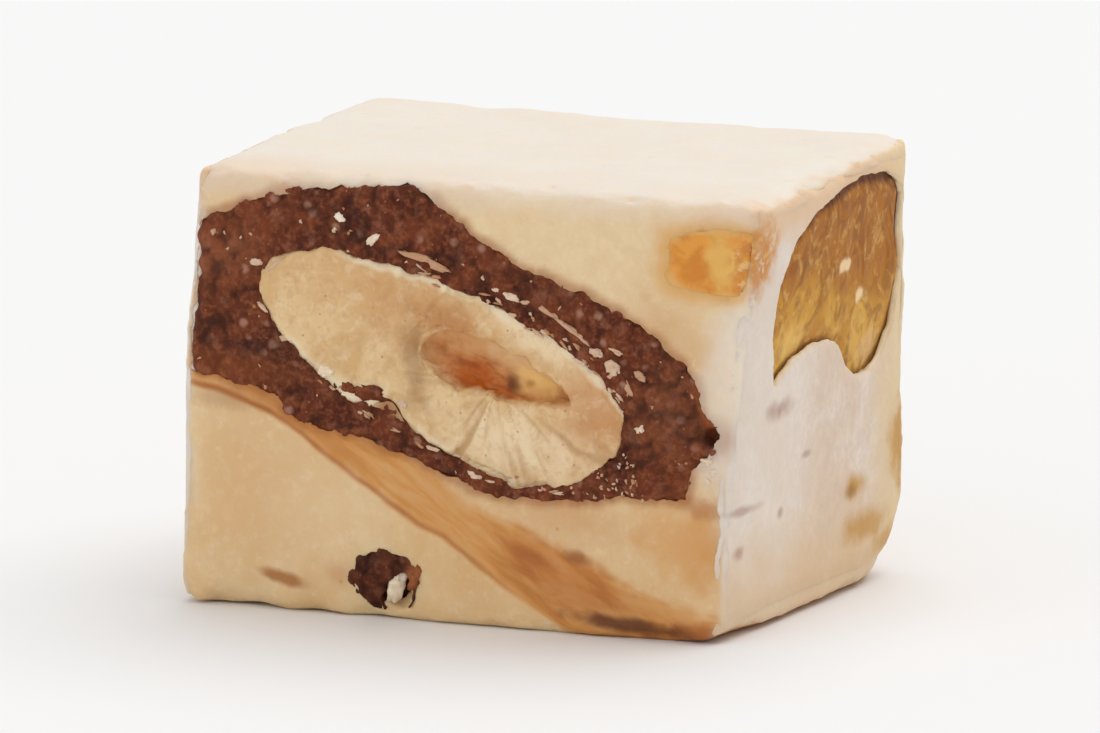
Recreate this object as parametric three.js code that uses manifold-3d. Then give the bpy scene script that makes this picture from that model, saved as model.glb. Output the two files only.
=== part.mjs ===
// A short bar of soft almond nougat, cut from a slab poured between two sheets of wafer paper.
// The sheets lie on the two ends (-X and +X). The long faces (-Y and +Y), the top and the foot
// are knife cuts. The front cut (-Y) goes through an almond in a thick brown cinnamon coat, a
// chip of almond and a crumb of coat with a pit in it. A second almond shows through a torn
// sheet at +X. Millimetres: +X is to the right, +Y to the back, +Z up. The origin is under the
// middle of the bar.
import * as THREE from "three";
import { mergeVertices } from "three/addons/utils/BufferGeometryUtils.js";
import Module from "manifold-3d";

// ---------------------------------------------------------------- driving dimensions
const DEPTH = 22.4; // front cut to back cut
const HEIGHT = 23.6; // foot to top
const FOOT_X = { frontLeft: -16.8, frontRight: 14.0, backLeft: -16.2, backRight: 15.9 };
const HEAD_X = { frontLeft: -15.8, frontRight: 16.8, backLeft: -15.9, backRight: 16.1 };
const FLARE = 2.3; // power by which an upright edge leans out from its foot to its head
const FOOT_CHIP = { x: 1.2, y: 1.8, tall: 4, sharp: 4 }; // crumbled back right corner of the foot

const CELL = 1.75; // grid pitch of the faces
const EDGE_ROUND = 0.7; // softness of the cut edges
const WAVE = { height: 0.13, length: 7.5, flatBelow: 3 }; // slow waves of the soft slab
const CRAG = { depth: 0.55, length: 1.9, reach: 1.6 }; // torn bits along the cut edges
const BUMP_LENGTH = 1.7; // spacing of the bumps on an inclusion

const SHEET = 0.4; // thickness of the wafer paper
const SHEET_SEAT = 0.1; // clearance under each sheet
const SEAT = 0.06; // clearance round each inclusion

// Each inclusion is a whole body whose widest section lies `ahead` of the front cut, so that
// the cut leaves its back part in the bar.
const COAT = { middle: { x: -1.4, z: 15.0 }, deep: 8.6, ahead: 0.8, rugged: 0.32 };
const COAT_OUTLINE = [
  [-18.4, 16.2], [-16.2, 20.6], [-12.2, 22.1], [-9.0, 22.9], [-5.6, 23.2], [-2.5, 23.1],
  [-0.6, 21.7], [2.6, 19.7], [8.2, 17.5], [11.2, 15.7], [12.7, 14.3], [13.2, 12.7],
  [14.4, 11.3], [13.6, 9.9], [12.8, 9.3], [12.1, 6.8], [9.7, 7.5], [5.1, 6.9],
  [1.1, 7.0], [-2.4, 8.1], [-5.6, 9.3], [-9.6, 10.2], [-12.8, 12.0], [-16.2, 12.0],
]; // x and z; the left end is past the bar, so the coat is cut there too

const KERNEL = {
  middle: { x: -1.85, z: 13.85 },
  length: 21.9,
  thick: 8.7,
  wide: 12.4,
  tilt: 21.2, // the blunt right end lies low
  ahead: 0.4,
  blunt: 0.38, // powers of the outline: the smaller, the fuller that end
  pointed: 0.48,
  bow: 0.35, // how far the pointed end bends up
  dimples: 0.035,
};
const HOLLOW = { middle: { x: 1.4, z: 13.6 }, length: 9.4, thick: 3.1, deep: 1.3, tilt: 16 };

const CORNER = { middle: { y: 1.3, z: 17.0 }, long: 19.2, tall: 12.0, deep: 3.5, square: 3.3 };
const TEAR_OUTLINE = [
  [-6.1, 12.9], [-3.8, 14.0], [-1.3, 14.4], [0.6, 14.3], [1.9, 13.8], [3.0, 12.5],
  [4.4, 11.7], [6.1, 11.6], [7.5, 12.2], [9.0, 13.6], [10.5, 16.7], [9.9, 18.8],
  [10.2, 21.0], [7.6, 22.2], [3.8, 22.6], [0.2, 22.4], [-3.2, 21.8], [-5.8, 20.7],
  [-7.0, 18.5], [-7.0, 15.9],
]; // y and z of the hole in the right sheet: ragged below, round above
const TEAR_FROM_X = 10;
const TEAR_TO_X = 22;

const CHIP = { middle: { x: 13.6, z: 20.3 }, long: 5.6, tall: 3.3, deep: 2.6, square: 3 };
const CRUMB = { middle: { x: -4.8, z: 2.15 }, long: 3.9, tall: 3.5, deep: 2.6, square: 2.2 };
const PIT = { middle: { x: -4.15, z: 1.5 }, length: 2.6, thick: 1.6, deep: 1.4, tilt: -65 };
const SCOOP_TAPER = { left: 1.35, right: 0.55 }; // a hollow's height at its two ends
const RAGGED = 0.12; // unevenness of a chip's or crumb's outline
const SMALL_BUMPS = 0.14;

const NOUGAT = { color: 0xe6d3b0, roughness: 0.55, metalness: 0 };
const CINNAMON = { color: 0x5c3526, roughness: 0.8, metalness: 0 };
const CUT_ALMOND = { color: 0xc99a66, roughness: 0.6, metalness: 0 };
const GOLDEN_ALMOND = { color: 0xba8a50, roughness: 0.6, metalness: 0 };
const CARAMEL = { color: 0xd9933f, roughness: 0.5, metalness: 0 };
const WAFER = { color: 0xd8c5b4, roughness: 0.9, metalness: 0 };

const wasm = await Module();
wasm.setup();

// ---------------------------------------------------------------- small helpers
const { clamp, degToRad } = THREE.MathUtils;
const mix = (a, b, t) => a + (b - a) * t;
const smooth = (t) => t * t * (3 - 2 * t);

// A repeatable number in -1..1 for each lattice point of each seed.
function lattice(i, j, k, seed) {
  let h = (i * 374761393 + j * 668265263 + k * 2147483647 + seed * 974711) | 0;
  h = Math.imul(h ^ (h >>> 13), 1274126177);
  h = Math.imul(h ^ (h >>> 15), 2246822519);
  return (((h ^ (h >>> 16)) >>> 0) / 4294967295) * 2 - 1;
}

// Smooth noise in -1..1, with a lattice point every `length`.
function noise(x, y, z, length, seed) {
  const [px, py, pz] = [x / length, y / length, z / length];
  const [i, j, k] = [Math.floor(px), Math.floor(py), Math.floor(pz)];
  const [u, v, w] = [smooth(px - i), smooth(py - j), smooth(pz - k)];
  const row = (jj, kk) => mix(lattice(i, jj, kk, seed), lattice(i + 1, jj, kk, seed), u);
  return mix(mix(row(j, k), row(j + 1, k), v), mix(row(j, k + 1), row(j + 1, k + 1), v), w);
}

// A closed three.js geometry as a solid that can be joined and cut.
function solidOf(geometry) {
  const bare = geometry.clone();
  bare.deleteAttribute("normal");
  bare.deleteAttribute("uv");
  const merged = mergeVertices(bare, 1e-4);
  const vertProperties = new Float32Array(merged.attributes.position.array);
  const triVerts = new Uint32Array(merged.index.array);
  return new wasm.Manifold(new wasm.Mesh({ numProp: 3, vertProperties, triVerts }));
}

// A solid as a three.js geometry.
function geometryOf(solid) {
  const { vertProperties, triVerts, numProp, numVert } = solid.getMesh();
  const points = new Float32Array(numVert * 3);
  for (let i = 0; i < numVert; i++) {
    points.set(vertProperties.subarray(i * numProp, i * numProp + 3), i * 3);
  }
  const geometry = new THREE.BufferGeometry();
  geometry.setAttribute("position", new THREE.BufferAttribute(points, 3));
  geometry.setIndex(new THREE.BufferAttribute(triVerts, 1));
  geometry.computeVertexNormals();
  return geometry;
}

// Moves every point of a closed geometry by a rule, and gives the result as a solid.
function shaped(geometry, rule) {
  const position = geometry.attributes.position;
  const p = new THREE.Vector3();
  for (let i = 0; i < position.count; i++) {
    p.fromBufferAttribute(position, i);
    rule(p);
    position.setXYZ(i, p.x, p.y, p.z);
  }
  return solidOf(geometry);
}

// A place in the plane of the front cut, from a point `along` and `up` an axis that drops to
// the right by `tilt` degrees.
function tilted(middle, tilt, along, up) {
  const slope = degToRad(tilt);
  return {
    x: middle.x + along * Math.cos(slope) + up * Math.sin(slope),
    z: middle.z - along * Math.sin(slope) + up * Math.cos(slope),
  };
}

// ---------------------------------------------------------------- the bar's outer faces
const halfDepth = DEPTH / 2;
const sides = [FOOT_X.frontRight - FOOT_X.frontLeft, DEPTH, HEIGHT];
const halves = sides.map((side) => side / 2);

// X of the left or right end at depth y and height z, without its waves.
function endX(side, y, z) {
  const across = clamp((y + halfDepth) / DEPTH, 0, 1);
  const up = Math.pow(clamp(z / HEIGHT, 0, 1), FLARE);
  const front = mix(FOOT_X["front" + side], HEAD_X["front" + side], up);
  const back = mix(FOOT_X["back" + side], HEAD_X["back" + side], up);
  return mix(front, back, across);
}

// A point in -1..1 on each axis, led to its place in the bar. The ends stand back by `tuck`.
function placeInBar(u, v, w, tuck) {
  const z = ((w + 1) / 2) * HEIGHT;
  const low = smooth(clamp(1 - z / FOOT_CHIP.tall, 0, 1));
  const chipped = low * Math.pow(clamp(u, 0, 1) * clamp(v, 0, 1), FOOT_CHIP.sharp);
  const y = v * halfDepth - chipped * FOOT_CHIP.y;
  const left = endX("Left", y, z) + tuck;
  const right = endX("Right", y, z) - tuck;
  const x = mix(left, right, (u + 1) / 2) - chipped * FOOT_CHIP.x;
  return new THREE.Vector3(x, y, z);
}

// Slow waves of the faces. They fade out towards the foot, so that the bar stands flat.
function wave(x, y, z, seed) {
  const fade = smooth(clamp(z / WAVE.flatBelow, 0, 1));
  return fade * WAVE.height * noise(x, y, z, WAVE.length, seed);
}

// Grid stations along a side: close together at the rounded edges, even between them.
function stations(length) {
  const half = length / 2;
  const steps = Math.round((length - 2 * EDGE_ROUND) / CELL);
  const inner = Array.from({ length: steps + 1 }, (_, i) =>
    mix(EDGE_ROUND - half, half - EDGE_ROUND, i / steps),
  );
  const nearEdge = half - EDGE_ROUND * 0.3;
  return [-half, -nearEdge, ...inner, nearEdge, half];
}

// The station that a coordinate in -1..1 of an evenly divided box stands for.
function stationOf(t, row) {
  const last = row.length - 1;
  return row[Math.round(((t + 1) / 2) * last)];
}

// A point on a straight box of the bar's sides, led to its place on the bar.
function barPoint(straight, tuck) {
  // Past the inner box a point keeps only the radius, which rounds the edges.
  const inner = straight.map((s, a) => clamp(s, EDGE_ROUND - halves[a], halves[a] - EDGE_ROUND));
  const out = straight.map((s, a) => s - inner[a]);
  const past = Math.hypot(...out);
  const round = straight.map((s, a) => (past ? inner[a] + (out[a] / past) * EDGE_ROUND : s));

  // Torn bits eat into the edges only, and not into the flat of the foot or along X, so that
  // the sheets lie flat on the ends.
  const toFace = straight.map((s, a) => halves[a] - Math.abs(s));
  const toEdge = toFace.sort((a, b) => a - b)[1];
  const nearness = clamp(1 - toEdge / CRAG.reach, 0, 1);
  const bite = Math.max(0, noise(...straight, CRAG.length, 11)) * CRAG.depth * nearness;
  const eaten = [0, bite / halves[1], bite / halves[2]];
  const [u, v, w] = round.map((s, a) => (s / halves[a]) * (1 - eaten[a]));

  const onFoot = straight[2] <= -halves[2] && toEdge >= EDGE_ROUND;
  const level = onFoot ? -1 : w;
  const even = placeInBar(u, v, level, 0);
  const placed = placeInBar(u, v, level, tuck);
  placed.x += wave(...even, 21) * smooth(Math.abs(u));
  placed.y += wave(...even, 22);
  placed.z = Math.max(0, placed.z + wave(...even, 23));
  return placed;
}

// The slab without its sheets: what the inclusions are cut flush with.
function bar() {
  const rows = sides.map(stations);
  const box = new THREE.BoxGeometry(2, 2, 2, ...rows.map((row) => row.length - 1));
  return shaped(box, (p) => {
    const straight = p.toArray().map((t, a) => stationOf(t, rows[a]));
    p.copy(barPoint(straight, SHEET + SHEET_SEAT));
  });
}

// ---------------------------------------------------------------- inclusions
// A body with a given outline in the X-Z plane, which shrinks to nothing before and behind it.
// `extra` makes it larger all over.
function lump({ outline, middle, y, deep, bumps, seed, rings, extra }) {
  const count = outline.length;
  const sphere = new THREE.SphereGeometry(1, count, rings);
  return shaped(sphere, (p) => {
    const ring = Math.hypot(p.x, p.z);
    const turn = Math.atan2(p.z, p.x) / (2 * Math.PI);
    const rim = outline[(Math.round(turn * count) + count) % count];
    const reach = Math.hypot(rim.x - middle.x, rim.z - middle.z);
    const bump = bumps * ring * noise(rim.x, p.y * deep, rim.z, BUMP_LENGTH, seed);
    const grown = ring * (1 + (bump + extra) / reach);
    const x = mix(middle.x, rim.x, grown);
    const z = mix(middle.z, rim.z, grown);
    p.set(x, y + p.y * (deep + extra), z);
  });
}

// Points at even turns round a middle, on a smooth closed curve through a few [x, z] points.
function roundOutline(points, middle, count) {
  const knots = points.map(([x, z]) => new THREE.Vector3(x, 0, z));
  const curve = new THREE.CatmullRomCurve3(knots, true, "centripetal");
  const along = curve.getSpacedPoints(count * 8);
  const turns = along.map((q) => Math.atan2(q.z - middle.z, q.x - middle.x));
  return Array.from({ length: count }, (_, i) => {
    const turn = (i / count) * 2 * Math.PI;
    const apart = turns.map((t) => 1 - Math.cos(t - turn));
    return along[apart.indexOf(Math.min(...apart))];
  });
}

// An oval outline, squarer as `square` rises over 2, with an uneven rim.
function ovalOutline({ long, tall, square }, middle, ragged, seed, count) {
  return Array.from({ length: count }, (_, i) => {
    const turn = (i / count) * 2 * Math.PI;
    const [c, s] = [Math.cos(turn), Math.sin(turn)];
    const across = Math.abs((2 * c) / long) ** square;
    const upright = Math.abs((2 * s) / tall) ** square;
    const uneven = 1 + ragged * noise(c * 3, s * 3, 0, 1, seed);
    const reach = Math.pow(across + upright, -1 / square) * uneven;
    return { x: middle.x + reach * c, z: middle.z + reach * s };
  });
}

function cinnamonCoat(extra) {
  const { middle, deep, ahead, rugged } = COAT;
  const outline = roundOutline(COAT_OUTLINE, middle, 76);
  const y = -halfDepth - ahead;
  return lump({ outline, middle, y, deep, bumps: rugged, seed: 41, rings: 12, extra });
}

// The almond in the coat: pointed at its left end, blunt at its right end.
function cinnamonAlmond(extra) {
  const sphere = new THREE.SphereGeometry(1, 24, 26);
  sphere.rotateZ(Math.PI / 2); // its poles are the two ends
  return shaped(sphere, (p) => {
    const t = clamp(p.x, -1, 1);
    const swell = Math.pow(1 - t, KERNEL.blunt) * Math.pow(1 + t, KERNEL.pointed);
    const ring = Math.hypot(p.y, p.z) || 1;
    const across = (p.y / ring) * swell;
    const up = (p.z / ring) * swell;
    const dimple = 1 + KERNEL.dimples * noise(t * 3, (p.y / ring) * 2, (p.z / ring) * 2, 1, 31);
    const bow = KERNEL.bow * clamp(-t, 0, 1) ** 2;
    const along = t * (KERNEL.length / 2 + extra);
    const high = up * ((KERNEL.thick / 2) * dimple + extra) + bow;
    const place = tilted(KERNEL.middle, KERNEL.tilt, along, high);
    const y = across * (KERNEL.wide / 2 + extra) - halfDepth - KERNEL.ahead;
    p.set(place.x, y, place.z);
  });
}

// A hollow in the front cut, high at its left end and low at its right end.
function scoop({ middle, length, thick, deep, tilt }, seed) {
  const sphere = new THREE.SphereGeometry(1, 18, 12);
  return shaped(sphere, (p) => {
    const rough = 1 + 0.08 * noise(p.x * 2, p.y * 2, p.z * 2, 1, seed);
    const taper = mix(SCOOP_TAPER.left, SCOOP_TAPER.right, (p.x + 1) / 2);
    const along = (p.x * length * rough) / 2;
    const high = (p.z * thick * rough * taper) / 2;
    const place = tilted(middle, tilt, along, high);
    p.set(place.x, p.y * deep - halfDepth, place.z);
  });
}

// The almond behind the right sheet. It is made in the X-Z plane and then turned into the
// plane of the right end, a quarter turn about Z.
function cornerAlmond(extra) {
  const { y, z } = CORNER.middle;
  const middle = { x: y, z };
  const outline = ovalOutline(CORNER, middle, 0.03, 51, 40);
  const flat = lump({ outline, middle, y: 0, deep: CORNER.deep, bumps: 0, seed: 52, rings: 10, extra });
  const turn = new THREE.Matrix4().makeRotationZ(Math.PI / 2);
  turn.setPosition(endX("Right", y, z), 0, 0);
  return flat.transform(turn.elements);
}

// A small body cut by the front face.
function bit(shape, seed, extra) {
  const { middle, deep } = shape;
  const outline = ovalOutline(shape, middle, RAGGED, seed, 28);
  const y = -halfDepth;
  return lump({ outline, middle, y, deep, bumps: SMALL_BUMPS, seed, rings: 8, extra });
}

// ---------------------------------------------------------------- wafer paper
// A sheet on one end of the bar. It has the bar's own stations over Y and Z, without the
// outermost ones, so it follows the end everywhere and bends round its edges before it stops.
function sheet(side) {
  const out = side === "Right" ? 1 : -1;
  const rows = sides.map((length) => stations(length).slice(1, -1));
  const box = new THREE.BoxGeometry(2, 2, 2, 1, rows[1].length - 1, rows[2].length - 1);
  return shaped(box, (p) => {
    const innerFace = p.x * out < 0;
    const straight = [out * halves[0], stationOf(p.y, rows[1]), stationOf(p.z, rows[2])];
    p.copy(barPoint(straight, innerFace ? SHEET : 0));
  });
}

// The block that tears the hole over the corner almond.
function tear() {
  const outline = new THREE.Shape(TEAR_OUTLINE.map(([y, z]) => new THREE.Vector2(y, z)));
  const depth = TEAR_TO_X - TEAR_FROM_X;
  const block = new THREE.ExtrudeGeometry(outline, { depth, bevelEnabled: false });
  block.rotateX(Math.PI / 2); // the outline now lies in Y-Z, and the depth along X
  block.rotateZ(Math.PI / 2);
  block.translate(TEAR_FROM_X, 0, 0);
  return solidOf(block);
}

// ---------------------------------------------------------------- cutting and fitting
const whole = bar();
const chip = (extra) => bit(CHIP, 61, extra);
const crumb = (extra) => bit(CRUMB, 71, extra);
const inclusions = [cinnamonCoat, cornerAlmond, chip, crumb];
const body = inclusions.reduce((left, make) => left.subtract(make(SEAT)), whole);

const solids = {
  nougat_body: [body, NOUGAT],
  cinnamon_coat: [whole.intersect(cinnamonCoat(0)).subtract(cinnamonAlmond(SEAT)), CINNAMON],
  cinnamon_almond: [whole.intersect(cinnamonAlmond(0)).subtract(scoop(HOLLOW, 33)), CUT_ALMOND],
  corner_almond: [whole.intersect(cornerAlmond(0)), GOLDEN_ALMOND],
  almond_chip: [whole.intersect(chip(0)), CARAMEL],
  cinnamon_crumb: [whole.intersect(crumb(0)).subtract(scoop(PIT, 73)), CINNAMON],
  wafer_right: [sheet("Right").subtract(tear()), WAFER],
  wafer_left: [sheet("Left"), WAFER],
};

const nougatBar = new THREE.Group();
for (const [name, [solid, look]] of Object.entries(solids)) {
  const mesh = new THREE.Mesh(geometryOf(solid), new THREE.MeshStandardMaterial(look));
  mesh.name = name;
  nougatBar.add(mesh);
}

export default nougatBar;
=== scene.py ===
"""The looks of a short bar of soft almond nougat. Lengths are in millimetres until a piece is made,
and then in metres, in the frame of the CAD model: +X right, -Y out of the front cut, +Z up."""

import itertools
import math

import bpy
import numpy as np
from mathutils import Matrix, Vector
from mathutils.bvhtree import BVHTree


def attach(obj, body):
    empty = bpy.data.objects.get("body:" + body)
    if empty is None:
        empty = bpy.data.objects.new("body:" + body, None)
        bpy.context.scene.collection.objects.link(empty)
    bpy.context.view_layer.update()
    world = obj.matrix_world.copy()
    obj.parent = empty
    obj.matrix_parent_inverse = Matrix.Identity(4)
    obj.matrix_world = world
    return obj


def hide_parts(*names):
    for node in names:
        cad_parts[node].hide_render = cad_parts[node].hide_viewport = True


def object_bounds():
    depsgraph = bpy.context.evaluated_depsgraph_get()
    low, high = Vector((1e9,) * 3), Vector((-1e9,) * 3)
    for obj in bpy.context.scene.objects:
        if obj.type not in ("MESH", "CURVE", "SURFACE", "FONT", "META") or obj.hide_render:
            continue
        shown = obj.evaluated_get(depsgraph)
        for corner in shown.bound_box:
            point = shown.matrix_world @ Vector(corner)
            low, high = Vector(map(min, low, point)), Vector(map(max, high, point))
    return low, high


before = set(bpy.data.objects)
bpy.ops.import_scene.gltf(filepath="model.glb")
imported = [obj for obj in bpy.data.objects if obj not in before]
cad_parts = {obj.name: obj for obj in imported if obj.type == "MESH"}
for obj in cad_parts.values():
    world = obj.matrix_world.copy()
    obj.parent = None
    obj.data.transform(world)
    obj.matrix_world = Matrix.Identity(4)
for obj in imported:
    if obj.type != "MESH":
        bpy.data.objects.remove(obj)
cad_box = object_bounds()

MM = 0.001
FINE = 1.0  # coarser voxels while trying things

# The size of the voxels that each piece is remeshed with.
VOXELS = {
    "nougat": 0.22,
    "cinnamon_coat": 0.13,
    "cinnamon_crumb": 0.09,
    "cinnamon_almond": 0.11,
    "corner_almond": 0.14,
    "almond_chip": 0.1,
    "wafer_left": 0.15,
    "wafer_right": 0.15,
}

FRONT = -11.2  # y of the front cut
TOP = 23.6
LOW, HIGH = np.array(cad_box) / MM

# ------------------------------------------------------------------ noise


def hashed(cell, seed):
    """A repeatable 32-bit number for each lattice cell."""
    n = (cell[:, 0] * 73856093) ^ (cell[:, 1] * 19349663) ^ (cell[:, 2] * 83492791)
    n = (n + seed * 2654435761) & 0xFFFFFFFF
    n = ((n ^ (n >> 15)) * 2246822519) & 0xFFFFFFFF
    n = ((n ^ (n >> 13)) * 3266489917) & 0xFFFFFFFF
    return n ^ (n >> 16)


def three_numbers(h):
    """Three numbers in -1..1 from each hash."""
    return np.stack([((h >> s) & 1023) / 511.5 - 1 for s in (0, 10, 20)], 1)


def perlin(points, seed):
    cell = np.floor(points).astype(np.int64)
    part = points - cell
    ease = part**3 * (part * (part * 6 - 15) + 10)
    total = np.zeros(len(points))
    for corner in itertools.product((0, 1), repeat=3):
        c = np.array(corner)
        gradient = three_numbers(hashed(cell + c, seed))
        weight = np.prod(np.where(c, ease, 1 - ease), axis=1)
        total += weight * np.sum(gradient * (part - c), axis=1)
    return total


def fbm(points, size, octaves=4, seed=0, gain=0.5):
    """Layered noise, about -1..1, with its largest features `size` across."""
    total, height = np.zeros(len(points)), 1.0
    for o in range(octaves):
        total += height * perlin(points / size + 17.3 * o, seed + o)
        size, height = size / 2.03, height * gain
    return total


def grains(points, size, seed):
    """Distance to the nearest scattered centre, in grain sizes, and that centre's own number 0..1."""
    p = points / size
    cell = np.floor(p).astype(np.int64)
    best = np.full(len(p), 9.0)
    owner = np.zeros(len(p))
    for corner in itertools.product((-1, 0, 1), repeat=3):
        c = cell + np.array(corner)
        h = hashed(c, seed)
        apart = np.sum((c + 0.5 + 0.5 * three_numbers(h) - p) ** 2, axis=1)
        nearer = apart < best
        best = np.where(nearer, apart, best)
        owner = np.where(nearer, (h >> 7 & 255) / 255, owner)
    return np.sqrt(best), owner


def step(low, high, value):
    t = np.clip((value - low) / (high - low), 0, 1)
    return t * t * (3 - 2 * t)


# ------------------------------------------------------------------ meshes


def new_object(name, points, faces):
    mesh = bpy.data.meshes.new(name)
    mesh.from_pydata(points, [], faces)
    mesh.update()
    obj = bpy.data.objects.new(name, mesh)
    bpy.context.scene.collection.objects.link(obj)
    return obj


def points_of(obj):
    co = np.empty(len(obj.data.vertices) * 3, np.float32)
    obj.data.vertices.foreach_get("co", co)
    return co.reshape(-1, 3).astype(float)


def put_points(obj, points):
    obj.data.vertices.foreach_set("co", points.astype(np.float32).ravel())
    obj.data.update()


def normals_of(obj):
    out = np.empty(len(obj.data.vertices) * 3, np.float32)
    obj.data.vertex_normals.foreach_get("vector", out)
    return out.reshape(-1, 3).astype(float)


def edges_of(obj):
    out = np.empty(len(obj.data.edges) * 2, np.int32)
    obj.data.edges.foreach_get("vertices", out)
    return out.reshape(-1, 2)


def apply_modifiers(obj):
    graph = bpy.context.evaluated_depsgraph_get()
    made = bpy.data.meshes.new_from_object(obj.evaluated_get(graph))
    obj.modifiers.clear()
    obj.data = made
    return obj


def remove(*objects):
    for obj in objects:
        bpy.data.objects.remove(obj)


def cad_copy(node, grow=0.0):
    """A copy of a CAD node's mesh in millimetres, `grow` larger all round."""
    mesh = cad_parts[node].data
    obj = bpy.data.objects.new("copy", mesh.copy())
    bpy.context.scene.collection.objects.link(obj)
    obj.data.materials.clear()
    put_points(obj, points_of(obj) / MM)
    weld = obj.modifiers.new("weld", "WELD")
    weld.merge_threshold = 0.0005
    apply_modifiers(obj)
    put_points(obj, points_of(obj) + grow * normals_of(obj))
    return obj


def joined(name, objects):
    """Several objects' meshes as one object."""
    points, faces, first = [], [], 0
    for obj in objects:
        own = points_of(obj)
        points.append(own)
        faces += [[first + v for v in f.vertices] for f in obj.data.polygons]
        first += len(own)
    remove(*objects)
    return new_object(name, np.concatenate(points), faces)


def remeshed(obj, piece):
    remesh = obj.modifiers.new("voxels", "REMESH")
    remesh.mode = "VOXEL"
    remesh.voxel_size = VOXELS[piece] * FINE
    return apply_modifiers(obj)


def cut(obj, tool):
    boolean = obj.modifiers.new("cut", "BOOLEAN")
    boolean.operation = "DIFFERENCE"
    boolean.solver = "MANIFOLD"
    boolean.object = tool
    return apply_modifiers(obj)


def smoothed(obj, rounds, amount=0.6, keep=None):
    """Evens a mesh out. `keep` is 1 where a point stays."""
    points, edges = points_of(obj), edges_of(obj)
    a, b = edges.T
    count = len(points)
    degree = np.maximum(np.bincount(edges.ravel(), minlength=count), 1)[:, None]
    give = amount if keep is None else amount * (1 - keep)[:, None]
    for _ in range(rounds):
        around = np.stack(
            [
                np.bincount(a, points[b, k], count) + np.bincount(b, points[a, k], count)
                for k in range(3)
            ],
            1,
        )
        points += give * (around / degree - points)
    put_points(obj, points)
    return obj


def paint(obj, name, values):
    """A number for each point, which a material reads by name."""
    layer = obj.data.attributes.new(name, "FLOAT", "POINT")
    layer.data.foreach_set("value", np.asarray(values, np.float32))


def shade_smooth(obj):
    obj.data.polygons.foreach_set("use_smooth", [True] * len(obj.data.polygons))


def finished(obj, name, material, slot, *nodes):
    """Turns a mesh in millimetres into a piece of the scene."""
    put_points(obj, points_of(obj) * MM)
    shade_smooth(obj)
    obj.name = name
    obj.data.name = name
    obj.data.materials.clear()
    obj.data.materials.append(material)
    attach(obj, "root")
    if nodes:
        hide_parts(*nodes)
    return obj


def shown_face(node, axis, out, shown=True):
    """The faces of a CAD node that look out of the bar along an axis, or all the others, for
    finding distances."""
    cad = cad_copy(node)
    faces = [f.vertices[:] for f in cad.data.polygons if (f.normal[axis] * out > 0.7) == shown]
    tree = BVHTree.FromPolygons(points_of(cad).tolist(), faces)
    remove(cad)
    return tree


def cut_clear(obj, piece, node, axis, out, lap=0.0):
    """Cuts a piece's own form out of another, and what would cover the face it shows.
    The other laps over the piece's rounded rim by `lap`, so that no groove opens between them."""
    tool = bpy.data.objects.new("cutter", piece.data.copy())
    bpy.context.scene.collection.objects.link(tool)
    points = points_of(tool)
    away = distances(points, shown_face(node, axis, out), 1.0)
    points -= lap * normals_of(tool)
    points[:, axis] += out * 1.5 * (1 - step(0.4, 0.7, away))
    put_points(tool, points)
    cut(obj, tool)
    remove(tool)


def tree_of(obj):
    return BVHTree.FromObject(obj, bpy.context.evaluated_depsgraph_get())


def flat_tree(node, axis):
    """A CAD node pressed flat along an axis, for distances as seen from that side."""
    cad = cad_copy(node)
    points = points_of(cad)
    points[:, axis] = 0
    tree = BVHTree.FromPolygons(points.tolist(), [f.vertices[:] for f in cad.data.polygons])
    remove(cad)
    return tree


def distances(points, tree, reach):
    """How far each point is from a surface, or `reach` where it is farther."""
    out = np.full(len(points), reach)
    for i, p in enumerate(points):
        hit = tree.find_nearest(p, reach)
        if hit[0] is not None:
            out[i] = hit[3]
    return out


# ------------------------------------------------------------------ materials


def rgb(r, g, b):
    """A colour given as it shows on a screen, 0..255, as a shader's linear colour."""

    def linear(c):
        c /= 255
        return c / 12.92 if c <= 0.04045 else ((c + 0.055) / 1.055) ** 2.4

    return (linear(r), linear(g), linear(b), 1.0)


def put(tree, value, socket):
    """Links a field or an output to a socket, or sets a plain value on it."""
    if isinstance(value, Field):
        tree.links.new(value.output, socket)
    elif isinstance(value, bpy.types.NodeSocket):
        tree.links.new(value, socket)
    else:
        socket.default_value = value


class Field:
    """A number that varies over a surface, so that a material's sums can be written plainly."""

    def __init__(self, tree, output):
        self.tree = tree
        self.output = output

    def math(self, operation, a, b=0.0):
        node = self.tree.nodes.new("ShaderNodeMath")
        node.operation = operation
        put(self.tree, a, node.inputs[0])
        put(self.tree, b, node.inputs[1])
        return Field(self.tree, node.outputs[0])

    def __add__(self, other):
        return self.math("ADD", self, other)

    def __sub__(self, other):
        return self.math("SUBTRACT", self, other)

    def __mul__(self, other):
        return self.math("MULTIPLY", self, other)

    def __truediv__(self, other):
        return self.math("DIVIDE", self, other)

    def __abs__(self):
        return self.math("ABSOLUTE", self)

    __radd__ = __add__
    __rmul__ = __mul__

    def sine(self):
        return self.math("SINE", self)

    def span(self, low, high, to_low=0.0, to_high=1.0, smooth=True):
        """Leads the range low..high to another one, and stops at its ends."""
        node = self.tree.nodes.new("ShaderNodeMapRange")
        node.interpolation_type = "SMOOTHSTEP" if smooth else "LINEAR"
        put(self.tree, self, node.inputs["Value"])
        for name, number in zip(("From Min", "From Max", "To Min", "To Max"), (low, high, to_low, to_high)):
            node.inputs[name].default_value = number
        return Field(self.tree, node.outputs["Result"])


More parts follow.
